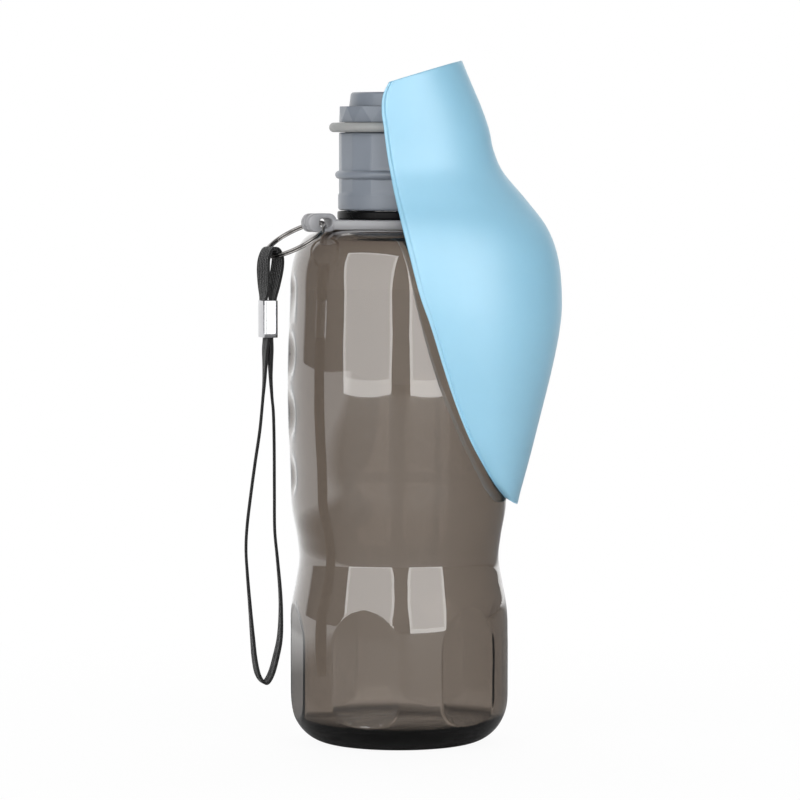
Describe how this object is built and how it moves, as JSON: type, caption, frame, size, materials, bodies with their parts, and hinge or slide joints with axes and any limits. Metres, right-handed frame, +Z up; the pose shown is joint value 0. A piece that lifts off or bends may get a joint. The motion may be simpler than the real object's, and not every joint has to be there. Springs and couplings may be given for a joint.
{
  "type": "dog travel water bottle",
  "caption": "Squeeze water bottle for walking a dog, with a screw cap, twist valve, a leaf-shaped drinking trough that flips up, and a wrist strap on a split ring.",
  "frame": {"origin": "centre of the standing ring under the bottle, on the bottle's axis, at the floor", "axes": "+Z up the bottle's axis, +X towards the leaf's back, -Y towards the viewer's side with the strap lug"},
  "size_m": [0.1164, 0.0948, 0.2517],
  "materials": {
    "smoked_plastic": "clear, smoked",
    "collar_plastic": "satin",
    "black_rubber": "satin",
    "cap_plastic": "satin",
    "silicone": "matte",
    "ring_plastic": "satin",
    "leaf_plastic": "matte",
    "white_plastic": "satin",
    "steel": "bright",
    "webbing": "woven",
    "chrome": "polished"
  },
  "bodies": {
    "bottle": {"bottle_body": "smoked_plastic", "neck_gasket": "black_rubber"},
    "liner": {"cap_liner": "silicone"},
    "cap": {"cap_body": "cap_plastic", "cap_collar": "cap_plastic", "valve_guide": "cap_plastic"},
    "knob": {"valve_knob": "cap_plastic", "knob_clip": "steel", "knob_seal": "black_rubber"},
    "plunger": {"valve_plunger": "white_plastic", "outlet_plug": "silicone"},
    "leaf_ring": {"leaf_ring": "ring_plastic"},
    "leaf": {"leaf_trough": "leaf_plastic"},
    "collar": {"strap_collar": "collar_plastic"},
    "split_ring": {"split_ring": "steel"},
    "strap": {"strap_upper_loop": "webbing", "strap_clasp": "chrome", "strap_lower_loop": "webbing"}
  },
  "joints": [
    {"name": "cap_lift", "type": "slide", "parent": "bottle", "child": "liner", "axis": [0, 0, 1], "range_m": [0, 0.01125]},
    {"name": "cap_turn", "type": "hinge", "parent": "liner", "child": "cap", "pos_m": [0, 0, 0.1968], "axis": [0, 0, 1], "range_deg": [0, 900]},
    {"name": "leaf_swivel", "type": "hinge", "parent": "liner", "child": "leaf_ring", "pos_m": [0, 0, 0.2272], "axis": [0, 0, 1], "range_deg": [-20, 20]},
    {"name": "leaf_flip", "type": "hinge", "parent": "leaf_ring", "child": "leaf", "pos_m": [0, 0, 0.2272], "axis": [0, -1, 0], "range_deg": [0, 165]},
    {"name": "knob_turn", "type": "hinge", "parent": "cap", "child": "knob", "pos_m": [0, 0, 0.2353], "axis": [0, 0, 1], "range_deg": [0, 90]},
    {"name": "plunger_slide", "type": "slide", "parent": "cap", "child": "plunger", "axis": [0, 0, 1], "range_m": [-0.003, 0]},
    {"name": "collar_swivel", "type": "hinge", "parent": "bottle", "child": "collar", "pos_m": [0, 0, 0.18985], "axis": [0, 0, 1], "range_deg": [-15, 15]},
    {"name": "ring_swing", "type": "hinge", "parent": "collar", "child": "split_ring", "pos_m": [-0.02896, -0.0181, 0.1924], "axis": [-0.5299, 0.848, 0], "range_deg": [0, 30]},
    {"name": "strap_swing", "type": "hinge", "parent": "split_ring", "child": "strap", "pos_m": [-0.04622, -0.02888, 0.18065], "axis": [-0.5299, 0.848, 0], "range_deg": [-2, 45]}
  ],
  "couplings": [
    {"joint": "cap_turn", "follows": "cap_lift", "rad_per_m": 1396.3},
    {"joint": "knob_turn", "follows": "plunger_slide", "rad_per_m": -523.6}
  ]
}
